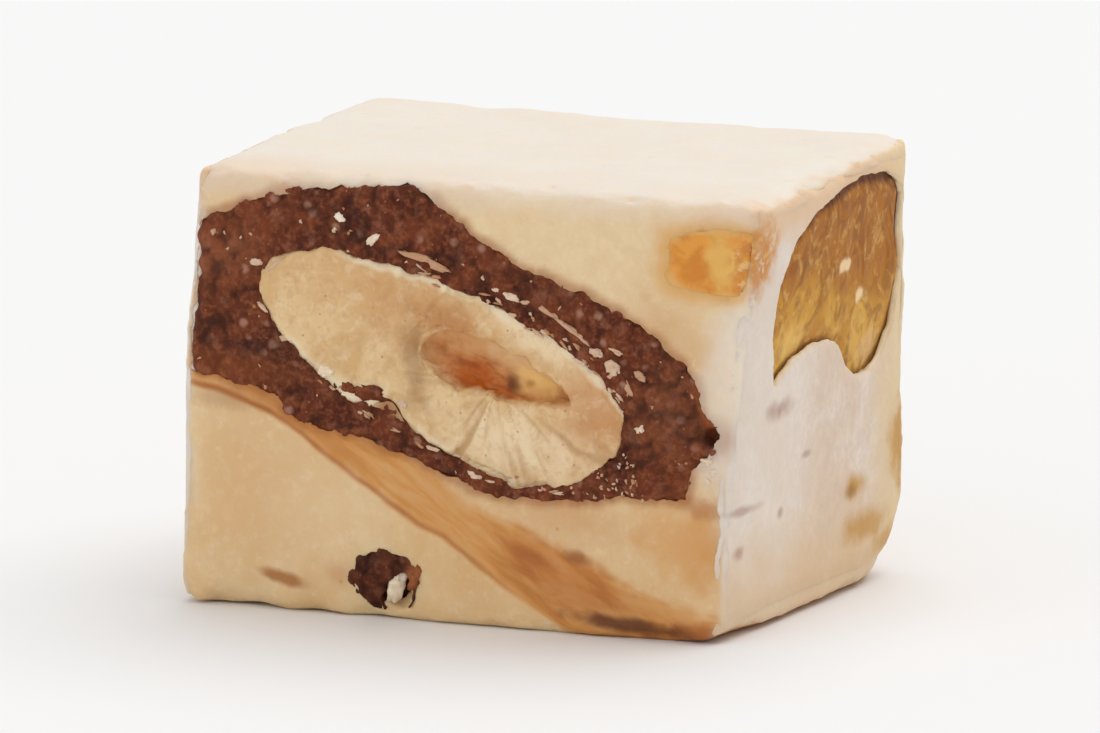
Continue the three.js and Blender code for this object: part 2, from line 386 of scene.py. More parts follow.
class Look:
    """A procedural material: a Principled shader, with colours laid over each other."""

    def __init__(self, name, colour):
        self.material = bpy.data.materials.new(name)
        self.material.use_nodes = True
        self.tree = self.material.node_tree
        self.tree.nodes.clear()
        self.shader = self.node("BsdfPrincipled")
        self.tree.links.new(self.shader.outputs[0], self.node("OutputMaterial").inputs[0])
        scale = self.node("VectorMath", operation="SCALE")
        scale.inputs["Scale"].default_value = 1 / MM
        self.tree.links.new(self.node("TexCoord").outputs["Object"], scale.inputs[0])
        self.place = scale.outputs[0]  # the place on the bar, in millimetres
        self.rough = self.noise(1.1, 3)  # makes the outlines of spots uneven
        self.colour = rgb(*colour)
        self.normal = None

    def node(self, kind, **settings):
        node = self.tree.nodes.new("ShaderNode" + kind)
        for name, value in settings.items():
            setattr(node, name, value)
        return node

    def over(self, amount, colour):
        """Lays a colour over those that are there: three numbers, or an output."""
        node = self.node("Mix", data_type="RGBA")
        put(self.tree, amount, node.inputs["Factor"])
        put(self.tree, self.colour, node.inputs[6])
        put(self.tree, rgb(*colour) if isinstance(colour, tuple) else colour, node.inputs[7])
        self.colour = node.outputs[2]

    def bump(self, height, distance, strength=1.0):
        """Adds fine relief, `distance` millimetres high."""
        node = self.node("Bump")
        node.inputs["Distance"].default_value = distance * MM
        node.inputs["Strength"].default_value = strength
        put(self.tree, height, node.inputs["Height"])
        if self.normal is not None:
            self.tree.links.new(self.normal, node.inputs["Normal"])
        self.normal = node.outputs[0]

    def finish(self, roughness, ior, glow=0.0, radius=(1.0, 0.6, 0.3), depth=0.6):
        """Sets the gloss and the light that sinks in, and gives the material."""
        put(self.tree, self.colour, self.shader.inputs["Base Color"])
        if self.normal is not None:
            self.tree.links.new(self.normal, self.shader.inputs["Normal"])
        for name, value in {
            "Roughness": roughness,
            "IOR": ior,
            "Subsurface Weight": glow,
            "Subsurface Radius": radius,
            "Subsurface Scale": depth * MM,
        }.items():
            self.shader.inputs[name].default_value = value
        return self.material

    def axes(self):
        node = self.node("SeparateXYZ")
        self.tree.links.new(self.place, node.inputs[0])
        return [Field(self.tree, output) for output in node.outputs]

    def combined(self, x, y, z):
        node = self.node("CombineXYZ")
        for value, socket in zip((x, y, z), node.inputs):
            put(self.tree, value, socket)
        return node.outputs[0]

    def stretched(self, x, y, z):
        node = self.node("VectorMath", operation="MULTIPLY")
        node.inputs[1].default_value = (x, y, z)
        self.tree.links.new(self.place, node.inputs[0])
        return node.outputs[0]

    def noise(self, size, detail=4, rough=0.55, warp=0.0, place=None):
        node = self.node("TexNoise")
        node.inputs["Scale"].default_value = 1 / size
        node.inputs["Detail"].default_value = detail
        node.inputs["Roughness"].default_value = rough
        node.inputs["Distortion"].default_value = warp
        self.tree.links.new(place or self.place, node.inputs["Vector"])
        return Field(self.tree, node.outputs["Fac"])

    def cells(self, size):
        node = self.node("TexVoronoi")
        node.inputs["Scale"].default_value = 1 / size
        self.tree.links.new(self.place, node.inputs["Vector"])
        return Field(self.tree, node.outputs["Distance"])

    def painted(self, name):
        return Field(self.tree, self.node("Attribute", attribute_name=name).outputs["Fac"])

    def profile(self, value, knots, heights):
        """A height for each value, on a smooth line through a few knots."""
        low, high = min(heights), max(heights)
        spots = [
            ((knot - knots[0]) / (knots[-1] - knots[0]), (height - low) / (high - low))
            for knot, height in zip(knots, heights)
        ]
        node = self.node("FloatCurve")
        line = node.mapping.curves[0].points
        line[0].location, line[1].location = spots[0], spots[-1]
        for spot in spots[1:-1]:
            line.new(*spot)
        node.mapping.update()
        put(self.tree, value.span(knots[0], knots[-1], smooth=False), node.inputs["Value"])
        return Field(self.tree, node.outputs["Value"]) * (high - low) + low

    def oval(self, centre, halves, tilt=0.0, ragged=0.6, soft=0.4):
        """1 inside an uneven ellipsoid whose right end drops by `tilt` degrees, 0 outside."""
        into = self.node("Mapping", vector_type="TEXTURE")
        into.inputs["Location"].default_value = centre
        into.inputs["Rotation"].default_value = (0, math.radians(tilt), 0)
        into.inputs["Scale"].default_value = halves
        self.tree.links.new(self.place, into.inputs["Vector"])
        length = self.node("VectorMath", operation="LENGTH")
        self.tree.links.new(into.outputs[0], length.inputs[0])
        reach = Field(self.tree, length.outputs["Value"]) + (self.rough - 0.5) * (2 * ragged)
        return reach.span(1 + soft, 1 - soft)

    def spot(self, x, z, wide, tall, tilt=0.0, ragged=0.6, soft=0.4):
        """An oval on the front cut."""
        return self.oval((x, FRONT, z), (wide, 1.8, tall), tilt, ragged, soft)


# The caramel streak on the front cut: its lower edge, and its upper edge under the coat.
STREAK_X = (-16.8, -14.1, -10.9, -6.9, -3.3, -1.5, 0.3, 3.7, 6.2, 9.7, 14.5)
STREAK_LOW = (11.5, 11.3, 10.0, 7.5, 5.2, 4.3, 3.2, 1.0, -0.6, -1.4, -1.6)
STREAK_HIGH = (12.8, 12.8, 12.2, 10.5, 8.9, 7.6, 6.5, 5.2, 4.2, 2.6, 1.2)

CARAMEL = (215, 151, 76)
DARK_CARAMEL = (172, 98, 42)
AMBER_BROWN = (156, 92, 38)
BURNT = (100, 50, 22)


def lay_streak(look):
    """Caramel through the whole bar: a crisp line at the left, broad and spotted at the right."""
    x, y, z = look.axes()
    back = y.span(FRONT, -FRONT, smooth=False)
    sway = back * ((x / 6 + 0.5).sine() * 1.6 + 0.9)
    level = z - sway + (look.noise(3.0, 2) - 0.5) * 0.7
    low = look.profile(x, STREAK_X, STREAK_LOW)
    high = look.profile(x, STREAK_X, STREAK_HIGH)
    over_low = level - low
    across = over_low / (high - low)
    ragged = (look.noise(1.6, 4) - 0.5) * 1.2
    amount = over_low.span(-0.1, 0.35) * (level - high + ragged).span(0.5, -0.6)
    strands = look.noise(0.55, 4, 0.55, 0.3, look.combined(x * 0.22 + z * 0.1, y * 0.4, across * 2.2))
    look.over(amount * strands.span(0.3, 0.6, 0.7, 1.0), CARAMEL)
    line = abs(over_low - 0.28).span(0.34, 0.0) * x.span(4.0, -1.0)
    broad = abs(across - 0.55).span(0.5, 0.0) * x.span(0.5, 4.0) * x.span(11.0, 8.0)
    rise = strands.span(0.45, 0.7) * x.span(-3.0, 4.0, 0.25, 0.45)
    look.over(amount * (0.7 * line + 0.55 * broad * strands.span(0.35, 0.6, 0.4, 1.0) + rise), DARK_CARAMEL)


def lay_front_spots(look):
    """What lies in the front cut beside the streak."""
    look.over(0.35 * look.spot(-8.8, 5.4, 3.2, 2.2, 8, 0.8, 0.9), (242, 217, 178))
    look.over(0.45 * look.spot(11.2, 16.5, 2.2, 1.1, 34, 0.8, 0.9), (212, 164, 114))
    look.over(0.35 * look.spot(-2.2, 3.6, 2.2, 1.5, 30, 0.8, 0.9), (220, 172, 106))
    look.over(0.4 * look.spot(5.8, 6.3, 3.6, 1.0, 14, 0.9, 0.9), (208, 148, 92))
    look.over(0.45 * look.spot(5.0, 3.2, 2.6, 1.1, 30, 0.7, 0.8), (198, 120, 42))
    look.over(0.65 * look.spot(12.3, 5.3, 2.4, 2.0, 10, 0.9, 0.8), (218, 158, 86))
    look.over(0.4 * look.spot(13.5, 5.0, 1.3, 1.9, 0, 0.6, 0.8), (210, 146, 70))
    look.over(0.5 * look.spot(12.9, 7.3, 1.8, 0.5, 18, 0.9, 0.8), DARK_CARAMEL)
    look.over(0.6 * look.spot(3.7, 3.9, 1.0, 0.3, 20, 0.8, 0.7), DARK_CARAMEL)
    look.over(0.75 * look.spot(5.9, 4.15, 0.7, 0.32, 10, 0.8, 0.7), AMBER_BROWN)
    look.over(0.35 * look.spot(-13.6, 11.2, 2.6, 0.5, 4, 0.9, 0.8), AMBER_BROWN)
    look.over(0.3 * look.spot(-13.0, 6.2, 2.4, 2.2, 0, 0.8, 0.9), (216, 164, 104))
    look.over(0.85 * look.spot(-10.6, 1.8, 1.2, 0.34, 13, 0.6, 0.6), (170, 104, 34))
    look.over(0.4 * look.spot(-7.4, 2.2, 0.7, 0.6, 0, 0.8, 0.9), (196, 132, 84))
    look.over(0.8 * look.spot(12.6, 0.5, 2.4, 0.55, 0, 0.8, 0.7), DARK_CARAMEL)
    look.over(0.85 * look.spot(8.9, 0.75, 3.0, 0.4, 6, 0.7, 0.6), BURNT)


def lay_back_spots(look):
    """The back cut and the top have small spots too."""
    look.over(0.7 * look.oval((5.0, -FRONT, 16.2), (1.7, 1.5, 0.7), 22), CARAMEL)
    look.over(0.8 * look.oval((-8.6, -FRONT, 17.4), (1.0, 1.5, 0.35), -12), AMBER_BROWN)
    look.over(0.7 * look.oval((9.4, -FRONT, 4.6), (1.2, 1.5, 0.45), 30), DARK_CARAMEL)
    look.over(0.6 * look.oval((-11.8, -FRONT, 5.2), (1.9, 1.5, 1.4), 0, 0.9), CARAMEL)
    look.over(0.6 * look.oval((-2.4, -FRONT, 20.6), (0.5, 1.5, 0.4)), BURNT)


def lay_film(look):
    """Wafer paper stuck to the nougat: grey-white and mottled, warmer at the foot and the back."""
    _, y, z = look.axes()
    drift = look.noise(3.0, 3)
    look.colour = rgb(236, 221, 207)
    look.over(look.noise(4.5, 4, 0.6, 0.4).span(0.36, 0.64), (226, 204, 181))
    look.over(0.4 * look.noise(0.55, 5, 0.7).span(0.4, 0.62), (212, 190, 177))
    look.over(0.45 * y.span(1.0, -5.0), (238, 230, 221))
    look.over(0.7 * (z + 6 * drift).span(11.0, 3.5), (224, 189, 143))
    look.over(0.8 * (z + 4 * drift).span(22.0, 24.5), (229, 191, 150))
    look.over(0.7 * (y + 4 * drift).span(7.5, 12.0), (232, 206, 160))
    for centre, halves, strength in (
        ((15.4, 4.4, 5.8), (2, 1.1, 0.55), 0.9),
        ((15.3, 5.6, 3.5), (2, 2.3, 0.7), 0.85),
        ((15.6, 10.0, 7.3), (2, 1.2, 2.0), 0.9),
        ((15.2, 8.8, 2.2), (2, 1.6, 0.7), 0.7),
        ((-16.1, -6.0, 15.2), (2, 1.4, 0.8), 0.6),
        ((-16.3, 4.2, 6.0), (2, 0.8, 1.1), 0.7),
    ):
        look.over(strength * look.oval(centre, halves, 0, 0.9, 0.7), (200, 150, 78))
    look.over(0.6 * look.oval((15.4, 4.0, 5.6), (2, 0.55, 0.3), 0, 0.8, 0.8), (150, 106, 60))
    for centre, halves in (
        ((14.7, -6.2, 11.7), (2, 0.85, 0.48)),
        ((14.8, -4.7, 11.7), (2, 0.8, 0.45)),
        ((14.3, -9.2, 6.9), (2, 1.6, 0.22)),
        ((14.4, -9.4, 4.7), (2, 0.4, 0.3)),
        ((14.8, -4.6, 6.0), (2, 0.3, 0.25)),
        ((14.6, -1.6, 8.6), (2, 0.5, 0.2)),
        ((-16.1, 1.0, 17.0), (2, 0.4, 0.3)),
        ((-16.2, -3.4, 8.2), (2, 0.3, 0.35)),
    ):
        look.over(0.5 * look.oval(centre, halves, 0, 1.0, 0.8), (156, 102, 78))


def lay_chip_side(look):
    """Browned flakes that lead on from the chip round the upright edge."""
    flaky = look.oval((16.1, FRONT + 0.6, 20.2), (1.0, 1.7, 2.0), 0, 0.8, 0.5)
    look.over(0.9 * flaky * look.noise(0.8, 3).span(0.34, 0.48), (210, 138, 58))
    look.over(0.4 * flaky * look.noise(0.5, 3).span(0.52, 0.66), (243, 200, 140))


def nougat_look():
    look = Look("nougat", (240, 218, 177))
    x, y, z = look.axes()
    patch = look.noise(3.2, 4, 0.6, 0.8)
    look.over(look.noise(6.5, 3, 0.5, 0.6).span(0.38, 0.64), (231, 200, 156))
    look.over(0.3 * look.noise(1.1, 4, 0.6, 0.5).span(0.36, 0.66), (222, 186, 144))
    low = (z + 4 * patch).span(23.0, 6.0)
    look.over((0.5 * low + 0.25) * patch.span(0.3, 0.7, 0.55, 1.0), (224, 184, 129))
    look.over(0.25 * look.noise(0.6, 4, 0.65).span(0.48, 0.7), (246, 229, 196))
    look.over(0.55 * look.cells(2.6).span(0.07, 0.02), (176, 124, 70))
    lay_streak(look)
    lay_front_spots(look)
    lay_back_spots(look)
    look.over(look.painted("gold"), (226, 170, 96))
    look.over(look.painted("brown"), DARK_CARAMEL)
    # Painted sheen: the light that the top and the upper edge of the front reflect is painted near-white,
    # faintly mottled, and warmer towards the front left of the top.
    painted_sheen = look.painted("painted_sheen")
    look.over(painted_sheen, (233, 226, 217))
    look.over(0.25 * painted_sheen * look.noise(1.6, 4, 0.6, 0.5).span(0.44, 0.64), (238, 219, 192))
    front_left = (y + 4 * patch).span(-3.0, -9.0) * x.span(6.0, -12.0, 0.25, 0.7)
    look.over(painted_sheen * front_left, (228, 202, 176))
    nougat = look.colour
    lay_film(look)
    film = look.colour
    look.colour = nougat
    look.over(look.painted("film"), film)
    look.over(0.5 * look.spot(14.1, 11.0, 0.7, 0.9, 0, 0.8, 0.9), (158, 98, 60))
    # Painted highlight: a pale strip down the rounded upright edge at the front right.
    look.over(0.5 * look.spot(15.0, 15.6, 0.9, 3.4, 8, 0.7, 0.9), (250, 232, 204))
    lay_chip_side(look)
    look.bump(look.noise(0.32, 5, 0.65), 0.06, 0.7)
    look.bump(look.noise(0.5, 3, 0.6, 0.0, look.stretched(0.25, 0.25, 1.3)), 0.035, 0.5)
    return look.finish(0.5, 1.43, 0.4, (1.0, 0.62, 0.34), 0.9)


def coat_look():
    look = Look("cinnamon_coat", (84, 32, 14))
    x = look.axes()[0]
    look.over(look.noise(2.2, 5, 0.6, 0.5).span(0.35, 0.65), (116, 54, 26))
    look.over(0.2 * (x + 6 * look.noise(2.4, 3)).span(-3.0, -12.0), (146, 76, 42))
    look.over(0.5 * look.spot(-14.2, 19.0, 1.9, 1.3, -20, 0.9, 0.9), (158, 90, 54))
    look.over(0.45 * look.spot(11.0, 12.2, 1.6, 1.9, 30, 0.9, 0.9), (158, 94, 56))
    look.over(0.6 * look.spot(-12.0, 13.4, 3.0, 1.9, 10, 0.9, 0.9), (66, 24, 10))
    look.over(0.75 * look.noise(0.35, 4, 0.6).span(0.42, 0.7), (150, 86, 52))
    look.over(0.4 * look.noise(0.95, 4, 0.6, 0.3).span(0.52, 0.68), (160, 104, 80))
    sugar = look.noise(2.4, 3, 0.6).span(0.44, 0.58)
    look.over(0.65 * sugar * look.cells(1.15).span(0.3, 0.1), (188, 140, 118))
    look.over(0.45 * look.cells(0.6).span(0.13, 0.05), (192, 138, 106))
    # Painted shade: the hollows between the grains are painted near-black, and the crumb's own darker
    # colour comes through the same mask.
    look.over(look.painted("low"), (42, 13, 5))
    # Painted shade in the pressed hole.
    look.over(look.painted("hole"), (62, 22, 9))
    look.over(0.4 * look.spot(-13.4, 12.9, 2.8, 0.7, 6, 1.2, 0.9), (158, 84, 40))
    look.over(0.6 * look.spot(13.4, 12.4, 0.7, 1.2, -20, 0.9, 0.8), (168, 90, 40))
    look.over(0.65 * look.spot(-3.2, 2.5, 0.5, 0.9, 10, 0.7, 0.6), (176, 106, 64))
    look.over(0.4 * look.spot(12.2, 8.4, 1.2, 1.4, 30, 1.2, 0.9), (150, 78, 36))
    look.bump(look.noise(0.22, 5, 0.7), 0.09, 0.9)
    look.bump(look.cells(0.4), 0.06, 0.6)
    return look.finish(0.74, 1.33, 0.06, (1.0, 0.4, 0.25), 0.4)


def kernel_look():
    look = Look("cut_almond", (233, 201, 152))
    look.over(look.noise(2.4, 4, 0.55, 0.7).span(0.36, 0.62), (219, 179, 125))
    look.over(0.6 * look.spot(-3.4, 16.7, 6.4, 1.8, 21, 1.0, 0.9), (206, 150, 94))
    look.over(0.7 * look.spot(7.2, 11.8, 2.0, 2.8, 30, 1.0, 0.9), (200, 137, 84))
    look.over(0.75 * look.spot(2.6, 9.7, 3.8, 1.5, 12, 1.0, 0.8), (248, 227, 190))
    look.over(0.8 * look.spot(3.4, 15.8, 2.4, 0.9, 30, 1.0, 0.8), (248, 226, 188))
    look.over(0.4 * look.spot(-8.2, 17.3, 2.4, 1.3, 10, 1.0, 0.9), (240, 205, 154))
    look.over(0.6 * look.spot(-1.5, 16.1, 1.3, 0.75, 16, 0.9, 0.8), (188, 122, 68))
    look.over(0.3 * look.noise(0.5, 4, 0.65, 0.4).span(0.46, 0.68), (190, 142, 94))
    look.over(0.3 * look.noise(0.8, 4, 0.6, 0.4).span(0.5, 0.7), (249, 230, 196))
    look.over(0.7 * look.painted("fibre"), (190, 146, 98))
    # Painted shadow: grey-brown where the raised left part of the cut shades the lower part behind the
    # curved step.
    look.over(0.45 * look.spot(-3.25, 13.8, 0.5, 2.2, -6, 1.0, 0.9), (150, 102, 60))
    look.over(0.5 * look.cells(0.9).span(0.1, 0.04), (150, 100, 58))
    # Painted highlight: a pale line along the rounded rim of the cut kernel.
    look.over(look.painted("rim"), (246, 228, 196))
    hollow = look.painted("hollow")
    look.over(hollow, (217, 163, 106))
    x, y, z = look.axes()
    grain = look.noise(0.5, 4, 0.6, 0.4, look.combined(x * 0.28 - z * 0.1, y * 0.5, z + x * 0.35))
    amber = look.spot(0.7, 12.9, 3.2, 1.1, 24, 0.9, 0.7)
    look.over(hollow * amber, (184, 90, 6))
    look.over(0.75 * hollow * amber * grain.span(0.42, 0.58), (146, 72, 18))
    for across, up, wide, tall, tilt, strength, colour in (
        (2.0, 14.5, 1.9, 0.75, 24, 0.75, (232, 198, 150)),
        (4.7, 12.5, 1.2, 0.5, 10, 0.8, (164, 90, 30)),
        (1.8, 12.1, 2.0, 0.22, 14, 0.5, (130, 64, 20)),
        (3.25, 13.2, 1.25, 0.7, 10, 0.9, (246, 204, 126)),
        (2.9, 13.0, 0.3, 0.2, 10, 0.7, (150, 84, 30)),
        (1.9, 13.0, 0.42, 0.36, 40, 0.85, (88, 40, 14)),
    ):
        look.over(strength * hollow * look.spot(across, up, wide, tall, tilt, 1.0, 0.7), colour)
    look.bump(look.noise(0.3, 5, 0.65), 0.06, 0.7)
    look.bump(look.noise(0.7, 4, 0.6, 0.4), 0.08, 0.5)
    return look.finish(0.55, 1.36, 0.25, (1.0, 0.62, 0.3), 0.6)


def corner_look():
    """A golden almond, browner at its top, with fine swirls and dark skin along its rim."""
    look = Look("golden_almond", (206, 148, 50))
    _, y, z = look.axes()
    field = look.noise(3.4, 1, 0.4, 0.9, look.stretched(1, 1.1, 0.9))
    look.over((z + 0.15 * y + 3 * field).span(17.4, 20.6), (172, 106, 26))
    look.over(0.7 * (z + 4 * field).span(18.7, 15.5), (224, 176, 84))
    look.over(0.5 * field.span(0.42, 0.6), (180, 114, 38))
    rings = (field * 30).sine() * look.noise(1.9, 2).span(0.36, 0.56)
    look.over(0.55 * rings.span(-0.2, 1.0), (138, 80, 28))
    look.over(0.4 * look.noise(1.0, 4, 0.6, 0.5).span(0.46, 0.66), (146, 86, 32))
    look.over(0.45 * look.noise(0.8, 4, 0.6, 0.5).span(0.5, 0.68), (232, 186, 104))
    look.over(0.6 * look.oval((15.4, 6.3, 12.9), (2, 1.3, 0.7), 0, 0.9, 0.8), (228, 186, 132))
    look.over(0.65 * look.oval((15.2, -4.2, 14.8), (2, 1.5, 1.0), 0, 0.9, 0.8), (244, 200, 112))
    look.over(look.painted("skin"), (94, 48, 24))
    look.over(look.painted("glint"), (252, 222, 174))
    look.bump(rings, 0.06, 0.8)
    look.bump(look.noise(0.3, 4, 0.6), 0.05, 0.6)
    return look.finish(0.6, 1.28, 0.12, (1.0, 0.6, 0.25), 0.6)


def chip_look():
    look = Look("caramelised_almond", (230, 158, 62))
    look.over(look.noise(1.2, 4, 0.55, 0.6).span(0.36, 0.62), (214, 134, 38))
    look.over(0.75 * look.spot(14.1, 20.4, 0.9, 1.5, -10, 0.7), (234, 190, 104))
    flakes = look.spot(15.9, 20.2, 1.3, 2.2, 0, 0.5)
    look.over(0.85 * flakes * look.noise(0.6, 3).span(0.4, 0.55), (208, 136, 64))
    look.over(0.6 * flakes * look.noise(0.5, 3).span(0.54, 0.64), (240, 200, 140))
    look.over(look.painted("veil"), (228, 178, 110))
    look.bump(look.noise(0.35, 4, 0.6), 0.06, 0.7)
    return look.finish(0.45, 1.42, 0.3, (1.0, 0.55, 0.2), 0.7)


def wafer_look():
    look = Look("wafer_paper", (236, 221, 207))
    lay_film(look)
    look.over(look.painted("torn"), (243, 228, 196))
    lay_chip_side(look)
    look.bump(look.noise(0.25, 5, 0.7), 0.045, 0.8)
    look.bump(look.cells(0.42), 0.03, 0.5)
    return look.finish(0.86, 1.4, 0.2, (1.0, 0.7, 0.5), 0.5)


def flake_look():
    """Bits of nut and sugar, from white to tan."""
    look = Look("flakes", (250, 236, 214))
    look.over(0.5 * look.noise(0.4).span(0.4, 0.6), (232, 198, 154))
    look.over(look.painted("tone"), (186, 124, 76))
    look.bump(look.noise(0.2, 3), 0.05, 0.7)
    return look.finish(0.45, 1.42, 0.1, (1.0, 0.8, 0.6), 0.1)


# ------------------------------------------------------------------ the nougat

FILLED = ("cinnamon_coat", "cinnamon_almond", "corner_almond", "almond_chip", "cinnamon_crumb")
SHEETS = ("wafer_left", "wafer_right")


def block():
    """The whole bar without its pockets, soft and slightly uneven."""
    parts = [cad_copy("nougat_body", 0.02)]
    parts += [cad_copy(node, 0.09) for node in FILLED]
    parts += [cad_copy(node, 0.04) for node in SHEETS]
    obj = remeshed(joined("nougat", parts), "nougat")
    smoothed(obj, int(16 / FINE), keep=1 - step(0.0, 0.6, points_of(obj)[:, 2]))
    points, normals = points_of(obj), normals_of(obj)
    edge = 1 - step(0.8, 0.985, np.abs(normals).max(1))
    dents = 0.07 * fbm(points, 5.0, 2, 1)
    slices = 0.03 * fbm(points * (0.35, 0.35, 1.6), 1.4, 3, 5)
    torn = edge * (0.16 * fbm(points, 1.3, 4, 9) - 0.12 * step(0.05, 0.5, fbm(points, 1.9, 3, 14)))
    straight = step(12.0, 13.5, points[:, 0]) * step(FRONT + 2.0, FRONT + 0.5, points[:, 1])
    torn *= 1 - 0.85 * straight * step(12.5, 9.5, points[:, 2])
    near, chosen = grains(points, 2.3, 20)
    pores = -0.16 * step(0.16, 0.05, near) * (chosen > 0.45)
    small, picked = grains(points, 0.9, 23)
    pores -= 0.06 * step(0.17, 0.05, small) * (picked > 0.6)
    height = dents + slices + torn + pores + 0.014 * fbm(points, 0.6, 2, 30)
    under_sheet = step(0.5, 0.9, np.abs(normals[:, 0])) * step(0.3, 1.5, inset(points))
    height -= under_sheet * (0.16 + height)
    height *= step(0.0, 0.25, points[:, 2])
    points += height[:, None] * normals
    points[:, 2] = np.maximum(points[:, 2], 0)
    put_points(obj, points)
    return obj


def inset(points):
    """How far points on an end lie inside its outline."""
    y, z = points[:, 1], points[:, 2]
    return np.minimum.reduce([y - LOW[1], HIGH[1] - y, z - LOW[2], HIGH[2] - z])


def near_to(points, picked, tree, reach=3.0):
    """Distance to a surface for the picked points, and `reach` for the rest."""
    out = np.full(len(points), reach)
    out[picked] = distances(points[picked], tree, reach)
    return out


def paint_nougat(obj, coat_tree, chip_tree):
    points, normals = points_of(obj), normals_of(obj)
    x, y, z = points.T
    front = y < FRONT + 1.6
    near_coat = near_to(points, front, coat_tree)
    near_chip = near_to(points, front, chip_tree)
    patch = fbm(points, 2.2, 4, 60)
    # Painted sheen: faces that look up near the top, a band along the top of the front and half of the
    # strip by the front's right edge are painted light, standing in for the light that falls on them and
    # shines off them. The strip also takes the wafer's colour.
    upward = step(0.3, 0.9, normals[:, 2]) * step(TOP - 2.5, TOP - 1.2, z)
    brow = 0.45 * step(TOP - 2.0, TOP - 0.2, z + 0.5 * patch)
    edge = np.interp(z, (0, 6, 11, 17, TOP), (14.0, 14.2, 14.5, 15.3, 16.8))
    bevel = step(2.6, 0.2, edge - x + 0.8 * patch) * step(7.0, 10.5, z + 0.8 * patch)
    bevel *= front * step(0.2, 1.2, near_chip)
    paint(obj, "painted_sheen", np.clip(np.maximum(upward * (0.85 + 0.15 * patch), brow) + 0.5 * bevel, 0, 1))
    film = step(0.3, 0.85, np.abs(normals[:, 0])) * step(12.0, 13.5, np.abs(x))
    paint(obj, "film", np.maximum(film, 0.8 * bevel))
    paint(obj, "gold", 0.85 * (1 - step(0.0, 1.0, near_chip + 0.35 * patch)))
    halo = 1 - step(0.0, 0.5, near_coat + 0.25 * patch)
    paint(obj, "brown", np.clip(0.65 * halo + 0.3 * halo * step(-0.1, 0.4, patch), 0, 1))


# ------------------------------------------------------------------ the inclusions


def crumbly(node, fill=(), dark=0.0):
    """A piece of cinnamon coat: grains of many sizes, pressed together, `dark` or less so."""
    parts = [cad_copy(node, 0.06)] + [cad_copy(other, 0.1) for other in fill]
    obj = remeshed(joined(node, parts), node)
    smoothed(obj, 3)
    points, normals = points_of(obj), normals_of(obj)
    near, lift = grains(points, 0.85, 70)
    small, _ = grains(points, 0.42, 71)
    crumbs = (0.42 - near) * 0.3 * (0.3 + lift) + (0.42 - small) * 0.13
    height = crumbs + 0.14 * fbm(points, 1.5, 5, 72, 0.6)
    points += height[:, None] * normals
    put_points(obj, points)
    # The low mask is painted shade in the hollows between the grains, plus `dark` for a piece whose own
    # colour is darker all over.
    paint(obj, "low", dark + 0.65 * (1 - dark) * (1 - step(-0.17, 0.02, height)))
    return obj


NUB_HOLE = (13.45, 11.15)
NUB_HOLE_HALVES = (0.45, 0.5)


def pierce(obj):
    """Presses a small dark hole into the nub at the coat's right."""
    points = points_of(obj)
    reach = np.hypot(
        (points[:, 0] - NUB_HOLE[0]) / NUB_HOLE_HALVES[0], (points[:, 2] - NUB_HOLE[1]) / NUB_HOLE_HALVES[1]
    )
    shown = points[:, 1] < FRONT + 1.5
    points[:, 1] += 0.6 * step(1.15, 0.6, reach) * shown
    put_points(obj, points)
    # Painted shade: the hole is painted dark as well as pressed in.
    paint(obj, "hole", step(1.4, 0.85, reach) * shown)


KERNEL_MIDDLE = (-1.85, 13.85)
KERNEL_TILT = math.radians(21.2)
KERNEL_LONG = 10.95
KERNEL_THICK = 4.35
KERNEL_BOW = 0.35
FAN_MIDDLE = (1.5, 13.2)  # where the kernel's fibres start


def swell(t):
    return (1 - t) ** 0.38 * (1 + t) ** 0.48


def kernel_place(points):
    """Where points lie along and across the kernel, from -1 to 1 at its ends and its rim."""
    dx, dz = points[:, 0] - KERNEL_MIDDLE[0], points[:, 2] - KERNEL_MIDDLE[1]
    along = (dx * math.cos(KERNEL_TILT) - dz * math.sin(KERNEL_TILT)) / KERNEL_LONG
    up = dx * math.sin(KERNEL_TILT) + dz * math.cos(KERNEL_TILT)
    t = np.clip(along, -0.999, 0.999)
    bow = KERNEL_BOW * np.clip(-t, 0, 1) ** 2
    return along, (up - bow) / (KERNEL_THICK * swell(t))


def rim_place(t, side, out):
    """x and z at a place along the kernel's upper (side 1) or lower (-1) rim, `out` mm past it."""
    along = t * KERNEL_LONG
    up = side * (KERNEL_THICK * swell(t) + out) + KERNEL_BOW * max(-t, 0) ** 2
    x = KERNEL_MIDDLE[0] + along * math.cos(KERNEL_TILT) + up * math.sin(KERNEL_TILT)
    z = KERNEL_MIDDLE[1] - along * math.sin(KERNEL_TILT) + up * math.cos(KERNEL_TILT)
    return x, z


# Where the kernel's lower rim rises or drops: x, half the length, and how far.
RIM_SHIFTS = ((-4.9, 1.9, 0.7), (-3.9, 2.9, 0.5), (2.2, 2.6, -0.45), (7.2, 1.8, 0.5))


def rim_shift(x):
    return sum(rise * step(1, 0, np.abs(x - middle) / half) for middle, half, rise in RIM_SHIFTS)


HOLLOW_MIDDLE = (1.4, 13.6)
HOLLOW_TILT = math.radians(16)
HOLLOW_LONG = 4.7
HOLLOW_THICK = 1.55


def hollow_reach(points):
    """0 in the middle of the kernel's hollow, and 1 at its rim."""
    dx, dz = points[:, 0] - HOLLOW_MIDDLE[0], points[:, 2] - HOLLOW_MIDDLE[1]
    along = (dx * math.cos(HOLLOW_TILT) - dz * math.sin(HOLLOW_TILT)) / HOLLOW_LONG
    up = dx * math.sin(HOLLOW_TILT) + dz * math.cos(HOLLOW_TILT)
    return np.hypot(along, up / (HOLLOW_THICK * (0.95 - 0.4 * np.clip(along, -1, 1))))


